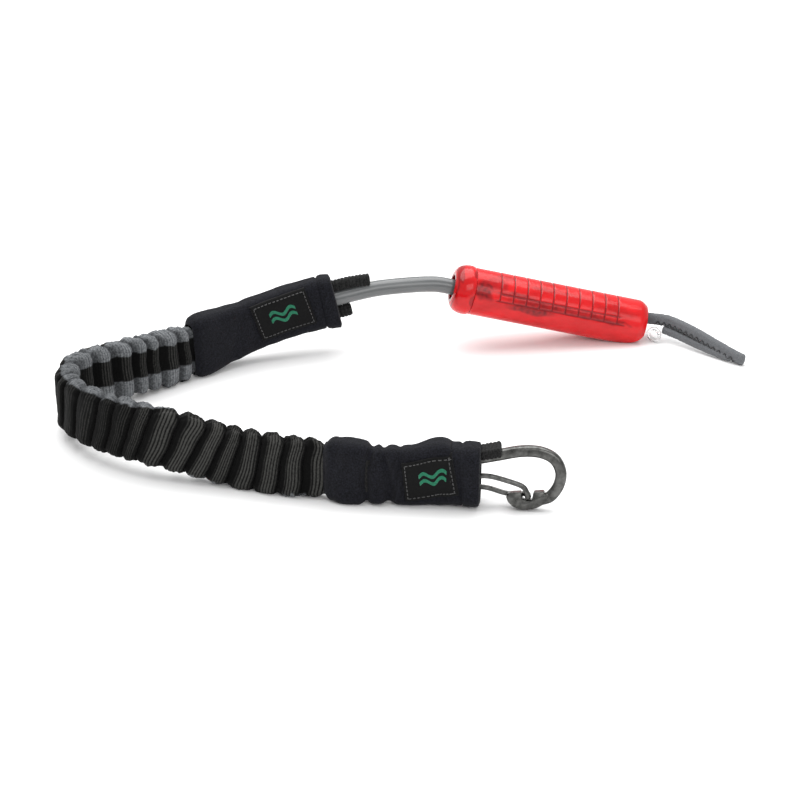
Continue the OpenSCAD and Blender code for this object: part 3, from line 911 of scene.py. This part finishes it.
def add_mark(name, cuff, corners):
    """A plain mark: two short waves, each sewn in five rows of green thread."""
    runs = []
    for middle in (0.42, 0.6):
        for row in range(5):
            rows = []
            for k in range(41):
                t = k / 40
                v = middle + 0.07 * math.sin(3 * math.pi * t) + (row - 2) * 0.018
                rows.append(cuff.near_point(*corner_mix(corners, 0.27 + 0.46 * t, v), 0.8))
            runs.append(tube_rings(rows, 0.5, 6, THREAD_UP))
    return add_threads(name, runs, GREEN_THREAD)


# -------- carabiner

# The outline of the flat nose, in the carabiner's plane
NOSE = [
    (40.5, 9.5), (38.6, 5.4), (36.5, 2.6), (33, 0.8), (29, 0.1), (24.4, 0.2), (21, 1.6),
    (18.6, 4), (17.6, 6.6), (18.4, 8.4), (20, 9), (25.2, 9.5), (25.7, 9.2), (26.3, 6),
    (27.2, 5.2), (30.6, 5.2), (31.3, 5.8), (31.9, 9.4), (32.5, 9.9), (37.4, 10.4), (38.2, 8.6)]
STOCK_HALF = (3.05, 3.0)
BOSS_AT = (-6, 12.5)
BOSS_R = 3.4


def on_hook(x, y, z):
    """A point of the carabiner's own frame, before the move to the origin."""
    return HOOK @ Vector((x, y, z)) - ORIGIN


def stock_ring(at, side, rise, s, total):
    """A nearly square ring of the forged stock, flatter and then narrower towards its tip."""
    flat = 1 - 0.24 * ramp(s, total - 26, total - 8)
    tip = 1 - 0.25 * ramp(s, total - 6, total)
    ring = []
    for q in round_angles(36):
        c, w = math.cos(q), math.sin(q)
        soft = (abs(c) ** 3 + abs(w) ** 3) ** (-1 / 3)
        spot = at + side * (STOCK_HALF[0] * tip * c * soft) + rise * (STOCK_HALF[1] * flat * w * soft)
        ring.append(on_hook(*spot))
    return ring


def add_carabiner():
    """Forged stock, the flat notched nose at its end and the round boss that holds the gate."""
    rows = resample(smooth([(x, 0, z) for x, z in HOOK_ROUTE], 10), 0.6)
    stands = stand(rows, Vector((0, 1, 0)))
    rings = [stock_ring(*stood, row[-1], rows[-1][-1]) for stood, row in zip(stands, rows)]
    bar = solid("bar", rings, HOOK_STEEL)
    nose = add_plate("nose", smooth_closed(NOSE, 3), 5.2, 0.4)
    circle = [(BOSS_AT[0] + BOSS_R * math.cos(q), BOSS_AT[1] + BOSS_R * math.sin(q))
              for q in round_angles(32)]
    boss = add_plate("boss", circle, 4.0, 0.5)
    fit(join("carabiner", [bar, nose, boss]), "carabiner", "carabiner", "carabiner_frame")


def smooth_closed(points, n):
    """A closed outline, slightly rounded at its points."""
    out = []
    count = len(points)
    for i in range(count):
        a, b, c = (Vector(points[(i + k) % count]) for k in (-1, 0, 1))
        start, finish = b.lerp(a, 0.22), b.lerp(c, 0.22)
        for k in range(n):
            t = k / (n - 1)
            out.append(tuple(start.lerp(b, t).lerp(b.lerp(finish, t), t)))
    return out


def add_plate(name, outline, thick, round_off):
    """A flat plate in the carabiner's plane, with rounded edges."""
    count = len(outline)
    area = sum(outline[k - 1][0] * outline[k][1] - outline[k][0] * outline[k - 1][1] for k in range(count))
    inward = []
    for k in range(count):
        along = Vector(outline[(k + 1) % count]) - Vector(outline[k - 1])
        inward.append(Vector((-along.y, along.x)).normalized() * (1 if area > 0 else -1))
    rings = []
    for k in range(9):
        y = -math.cos(math.pi * k / 8)
        inset = round_off * (1 - math.sqrt(max(1 - y ** 8, 0)))
        rings.append([on_hook(p[0] + n.x * inset, thick / 2 * y, p[1] + n.y * inset)
                      for p, n in zip(outline, inward)])
    return solid(name, rings, HOOK_STEEL)


# The gate's wire in the carabiner's frame: its near side, and its far side on the way back
GATE_NEAR = [
    (-6, -1, 12.5), (-6, -3, 12.5), (-4.2, -3.6, 13.8), (1, -4.1, 17.4), (9, -4.3, 18.1),
    (20, -4, 15.4), (26.4, -3.9, 13), (28.7, -3.9, 9.5), (28.9, -3.2, 7.2)]
GATE_FAR = [
    (28.9, 3.2, 7.2), (25, 4.2, 7), (17.5, 4.3, 6.9), (7.8, 4.3, 9.4), (1, 4.1, 10),
    (-4.2, 3.6, 11.4), (-6, 3, 12.5), (-6, 1, 12.5)]
GATE_TIP = (28.9, 7.2)
WIRE_D = 2.8


def add_gate():
    """Bent wire: out along the near side, round the tip and back along the far side."""
    turn = [(GATE_TIP[0] + 0.5 * math.sin(q), -3.2 * math.cos(q), GATE_TIP[1] - 0.2 * math.sin(q))
            for q in (math.radians(a) for a in (30, 60, 90, 120, 150))]
    rows = [tuple(on_hook(*p)) for p in smooth(GATE_NEAR, 6) + turn + smooth(GATE_FAR, 6)]
    rings = tube_rings(resample(rows, 0.5), WIRE_D, 20, Vector((0.02, 0, 1)))
    fit(solid("gate", rings, HOOK_STEEL), "gate", "gate", "gate_wire")


# -------- webbing at the cuffs' ends

RIB_STEP = 2.1


def add_roll(name, rows, w, h):
    """A short roll of ribbed webbing along a route, w wide and h high, closed at both ends."""
    rows = resample(rows, 0.25)
    total = rows[-1][-1]
    rings = []
    for (at, side, rise), row in zip(stand(rows), rows):
        s = row[-1]
        end = min(1, math.sqrt(max(0.0, 1 - (1 - min((total - s) / 1.2, 1)) ** 2)) + 0.05)
        thin = 0.6 + 0.4 * end
        swell = 0.55 * abs(math.sin(math.pi * s / RIB_STEP)) ** 0.6
        ring = []
        for x, z, nx, nz in rounded(w, h, min(w, h) * STRAP_CORNER, 40):
            out = swell + 0.2 * noise.noise(Vector((s * 0.4, z * 0.5, nx)))
            ring.append(at + side * (x * thin + nx * out) + rise * (z * thin + nz * out))
        rings.append(ring)
    return solid(name, rings, WEBBING)


def add_front_webbing():
    """The fold of webbing that stands out over the carabiner's bar, and the strap inside the cuff."""
    ear = [on_hook(x, -4.6, 29.1 + 0.22 * (x - 4.5)) for x in (-2, 2, 8, 14.5)]
    top = [on_hook(x, 0, z) for x, z in ((-19, 28.2), (-2, 29.6), (3, 30.6), (14.5, 33.2))]
    stub = [(20, -104, 5.2), (28, -104.4, 5), (34.6, -104.6, 5.2)]
    inner = [(-30, -99.8, 17), (-12, -100.3, 17), (3, -100.5, 17)]
    rolls = [add_roll("ear", ear, 1.6, 4.6), add_roll("top", top, 10.2, 1.6),
             add_roll("stub", stub, 4, 5.5), add_roll("inner", inner, 5, 21)]
    fit(join("front_webbing", rolls), "front_strap", "webbing", "front_webbing_loop", "front_bartack")


def add_rear_webbing():
    """The folded webbing's two ends over and under the leader tube, where it leaves the rear cuff."""
    turn = Matrix.Rotation(math.radians(9), 4, "Z") @ Matrix.Rotation(math.radians(-11), 4, "Y")
    at = Vector(TUBE_EXIT)
    ear = [at + turn @ Vector((x, -0.2, z)) for x, z in ((-22, 8), (-6, 8), (6, 8), (14, 7.4), (20, 6.6))]
    stub = [at + turn @ Vector((x, -0.2, -9)) for x in (-20, -6, 2, 6)]
    rolls = [add_roll("ear", ear, 5, 6), add_roll("stub", stub, 5, 6.6)]
    fit(join("rear_webbing", rolls), "rear_strap", "webbing", "rear_webbing_loop", "rear_bartack")


# -------- release sleeve


def on_sleeve(x, y, z):
    """A point of the sleeve's own frame, before the move to the origin."""
    return SLEEVE @ Vector((x, y, z)) - ORIGIN


GROOVES = 10
GROOVE_START = 27
GROOVE_STEP = 8
SLEEVE_SIDES = 180
SLEEVE_STEP = 0.3
LIP_L = 30
LIP_WALL = 0.8
BORE_R = 10.5
MOUTH_FROM = 83

# Darker red patches painted on the sleeve: distance along, angle, half length, half angle, depth of tone
UNDER_SLEEVE = [
    (17, 152, 6, 30, 1.0), (24, 130, 7, 20, 0.5), (36, 150, 14, 9, 0.75), (46, 178, 16, 12, 1.0),
    (64, 162, 36, 11, 0.8), (84, 168, 22, 7, 0.9), (101, 167, 6, 6, 1.0), (30, 105, 9, 12, 0.45),
    (56, 118, 16, 9, 0.35), (96, 140, 14, 16, 0.35)]

# Long lines cut in the sleeve: angle, and the distances along between which they run
LONG_LINES = [(153, 28, 100), (171, 26, 103)]


def add_sleeve():
    """The sliding sleeve: ring grooves and long lines on its upper part and a smooth rounded underside."""
    steps = int((SLEEVE_L - CAP_L) / SLEEVE_STEP)
    stations = [CAP_L + SLEEVE_STEP * k for k in range(steps + 1)] + [SLEEVE_L]
    angles = [360 * k / SLEEVE_SIDES for k in range(SLEEVE_SIDES)]
    back = stations[::-3]
    rings = [[sleeve_spot(a, q) for q in angles] for a in stations]
    rings += [[bore_spot(a, q) for q in angles] for a in back]
    sleeve = add_mesh("release_sleeve", *skin(rings, capped=False), RED)
    inner = [0.0] * (len(back) * SLEEVE_SIDES)
    # Darker red patches painted on the sleeve's outside.
    paint(sleeve, "under", [under_tone(a, q) for a in stations for q in angles] + inner)
    # Painted shade in the grooves and long cut lines, by their depth.
    paint(sleeve, "line", [min(1, cut_depth(a, q) / 0.35) for a in stations for q in angles] + inner)
    fit(mend(sleeve), "sleeve", "release_red", "sleeve_shell")


def under_tone(a, q):
    """How dark the sleeve is painted, from the patches listed above, with uneven edges and strength."""
    wave = 3 * noise.noise(Vector((a * 0.16, q * 0.06, 1)))
    tone = 0.0
    for at, angle, long, wide, depth in UNDER_SLEEVE:
        far = math.hypot((a - at + wave) / long, (q - angle + 1.6 * wave) / wide)
        tone = max(tone, depth * ramp(-far, -1.15, -0.55))
    return min(1, tone * (0.75 + 0.5 * noise.noise(Vector((a * 0.5, q * 0.12, 9)))))


def cut_depth(a, q):
    """Depth of the grooves and long lines, in millimetres."""
    depth = 0.0
    k = round((a - GROOVE_START) / GROOVE_STEP)
    if 0 <= k < GROOVES:
        upper = ramp(math.sin(math.radians(q)), 0.12, 0.18)
        depth = 0.5 * ridge(a, GROOVE_START + k * GROOVE_STEP, 0.32) * upper
    for angle, low, high in LONG_LINES:
        run = ramp(a, low - 2, low) * ramp(-a, -high - 2, -high)
        depth = max(depth, 0.4 * ridge(q, angle, 1.5) * run)
    return depth


def lip_floor(a):
    """The lowest height of the sleeve's rounded lower lip, over its axis."""
    x = (a - SLEEVE_L + LIP_L) / (LIP_L + 0.6)
    pitch = math.radians(SLEEVE_PITCH)
    ground = (math.sin(pitch) * a - SLEEVE_AT.z) / math.cos(pitch) + 0.1
    return max(-SLEEVE_R * math.sqrt(1 - max(x, 0) ** 2), ground)


def sleeve_spot(a, q):
    """A point of the sleeve's outside, at distance a and at angle q, which is 90 degrees at the top."""
    r = SLEEVE_R - cut_depth(a, q)
    if a > SLEEVE_L - 5:
        r -= 2.2 * ((a - SLEEVE_L + 5) / 5) ** 2
    z = max(r * math.sin(math.radians(q)), lip_floor(a))
    return on_sleeve(a, r * math.cos(math.radians(q)), z)


def bore_spot(a, q):
    """The same on the inside: the bore, and the raised, slightly narrower mouth beyond it."""
    share = ramp(a, MOUTH_FROM, MOUTH_FROM + 2)
    r = BORE_R - share
    z = MOUTH_UP * share + r * math.sin(math.radians(q))
    return on_sleeve(a, r * math.cos(math.radians(q)), max(z, lip_floor(a) + LIP_WALL))


CAP_SIDES = 120

# The cap's outline, from the tube's hole over the dome and back inside: radius and distance along
CAP_OUTLINE = [
    (7.2, 5), (7.2, 0.6), (7.8, 0), (9.4, 0.1), (11.6, 1.2), (13.3, 3), (14.3, 5.6), (14.7, 8.4),
    (14.5, 10.8), (13.7, 11.9), (12.6, CAP_L), (12.2, 11.8), (12.2, 7.4), (11.8, 7), (7.6, 7)]


def cap_spot(r, a, q):
    """A slightly uneven point of the cap at radius r, distance a and angle q round it, in radians."""
    c, s = math.cos(q), math.sin(q)
    uneven = 0.12 * noise.noise(Vector((a * 0.3, c * 2, s * 2)))
    return on_sleeve(a, (r + uneven) * c, r * s)


def add_cap():
    """The domed cap at the rider end."""
    profile = smooth(CAP_OUTLINE, 5)
    angles = [360 * k / CAP_SIDES for k in range(CAP_SIDES)]
    rings = [[cap_spot(r, a, math.radians(q)) for q in angles] for r, a in profile]
    cap = add_mesh("release_cap", *skin(rings, capped=False), RED)
    # Painted shade in the crease ring and round the hole, and darker patches at random.
    paint(cap, "under", [cap_tone(r, a, q) for r, a in profile for q in angles])
    fit(mend(cap), "sleeve", "release_red", "sleeve_cap")


def cap_tone(r, a, q):
    """Painted shade in the cap's crease ring and round its hole, with darker patches at random."""
    crease = 0.8 * ridge(r, 11.4 + 0.6 * math.sin(math.radians(3 * q)), 0.5)
    shade = 0.7 * ramp(-r, -9.6, -8.4) + 0.6 * ramp(noise.noise(Vector((a * 0.2, q * 0.03, 5))), 0.15, 0.4)
    return min(1, max(crease, shade))


# -------- kite loop

LOOP_EYE_R = 4.15
ZIG_STEP = 2.1


def loop_rows(route):
    """A route measured from the finger, before the move to the origin."""
    start = LOOP_START - ORIGIN
    return [tuple(start + Vector(p)) for p in route]


def strand(name, rows, w, h):
    """One strand of webbing with slightly uneven faces and a rounded end."""
    rows = resample(smooth(rows, 8), 0.5)
    total = rows[-1][-1]
    rings = []
    for (at, side, rise), row in zip(stand(rows), rows):
        s = row[-1]
        end = math.sqrt(max(0.02, 1 - (1 - min((total - s) / 1.5, 1)) ** 2))
        ring = []
        for x, z, nx, nz in rounded(w, h, 1.6, 40):
            out = 0.22 * noise.noise(Vector((s * 0.5, z * 0.6, nx * 2))) + 0.12 * abs(math.sin(s * 2.1))
            ring.append(at + side * (x * end + nx * out) + rise * (z * end + nz * out))
        rings.append(ring)
    return solid(name, rings, GREY_WEBBING)


def loop_eye():
    """The round of webbing that lies on the jaw's finger."""
    up = SLEEVE.to_3x3() @ Vector((0, 0, 1))
    rings = []
    for q in round_angles(40):
        at = on_sleeve(FINGER_AT + LOOP_EYE_R * math.cos(q), LOOP_EYE_R * math.sin(q), MOUTH_UP)
        out = (at - (LOOP_START - ORIGIN)).normalized()
        rings.append([at + out * x + up * z for x, z, _, _ in rounded(1.7, 6, 0.8, 24)])
    return solid("eye", rings, GREY_WEBBING, capped=False)


def add_loop():
    """The long strand, the tail sewn to it and the eye."""
    long = strand("long", loop_rows(LOOP_OUT)[1:], 4.2, 6.6)
    tail = strand("tail", loop_rows(TAIL_OUT), 4, 4.6)
    fit(join("kite_webbing", [long, tail, loop_eye()]), "loop", "loop", "kite_loop")


def add_zigzag():
    """Zig-zag stitches down the near face of the long strand, and the pale seam under them."""
    rows = resample(smooth(loop_rows(LOOP_OUT), 8), 0.4)
    zig, seam = [], []
    for (at, side, rise), row in zip(stand(rows), rows):
        s = row[-1]
        if 11 < s < 70:
            phase = (s / ZIG_STEP) % 2
            zig.append(at + side * 2.5 + rise * ((abs(phase - 1) - 0.5) * 2.6 - 1.5))
        if 22 < s < 66:
            seam.append(at + side * 1.9 + rise * -3.4)
    stitches = add_threads("loop_stitches", [tube_rings(zig, 0.7, 8)], BLACK_THREAD)
    fit(stitches, "loop", "loop_thread", "kite_loop_stitching")
    fit(add_threads("loop_seam", [tube_rings(seam, 0.5, 8)], PALE_THREAD), "loop", "loop_thread")


def add_keeper():
    """The clear keeper ring under the loop."""
    at = LOOP_START - ORIGIN + Vector((9, -7.5, -6.3))
    turn = Matrix.Rotation(math.radians(-30), 4, "Z")
    across = turn @ Vector((0, 1, 0))
    rings = []
    for q in round_angles(48):
        out = turn @ Vector((math.cos(q), 0, math.sin(q)))
        rings.append([at + out * (3.6 + x) + across * z for x, z, _, _ in rounded(1.8, 3, 0.7, 20)])
    fit(solid("keeper", rings, CLEAR, capped=False), "loop", "clear_plastic", "loop_keeper")


# -------- CAD nodes that keep their shape


def finish_cad(material, *names):
    """Gives CAD nodes a material."""
    for name in names:
        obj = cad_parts[name]
        obj.data.materials.clear()
        obj.data.materials.append(material)


# -------- the scene, with the camera and the cord first

add_camera()
add_leader_tube()
add_world(0.75)
add_softbox("key", mm(-200, 450, 1400), mm(0, 0, 0), (2.2, 1.5), 34)
add_softbox("fill", mm(500, -1100, 900), mm(0, 0, 0), (1.0, 0.7), 5)
add_floor()
add_strap()
add_elastic_cords()
front_cuff = Cuff(FRONT_CUFF_ROUTE, front_creases, seed=3.0, slant=0.0)
rear_cuff = Cuff(REAR_CUFF_ROUTE, rear_creases, seed=9.0, slant=-0.16)
add_cuff("front_cuff_skin", "front_cuff", "front_strap", front_cuff)
add_cuff("rear_cuff_skin", "rear_cuff", "rear_strap", rear_cuff)
add_label("front_patch", ("front_label", "front_label_stitching"), "front_strap", front_cuff,
          ((42.5, -12), (72, -8), (71, 15.5), (40.2, 10)))
add_label("rear_patch", ("rear_label", "rear_label_stitching"), "rear_strap", rear_cuff,
          ((45, -9), (80.5, -8.5), (77.5, 14.6), (41, 14.2)))
add_front_webbing()
add_rear_webbing()
add_carabiner()
add_gate()
add_sleeve()
add_cap()
add_loop()
add_zigzag()
add_keeper()
finish_cad(GREY_WEBBING, "leader_line")
finish_cad(PLAIN_STEEL, "tube_clamp", "release_jaw", "jaw_pin", "sleeve_spring")
finish_cad(MOULDED, "release_core")
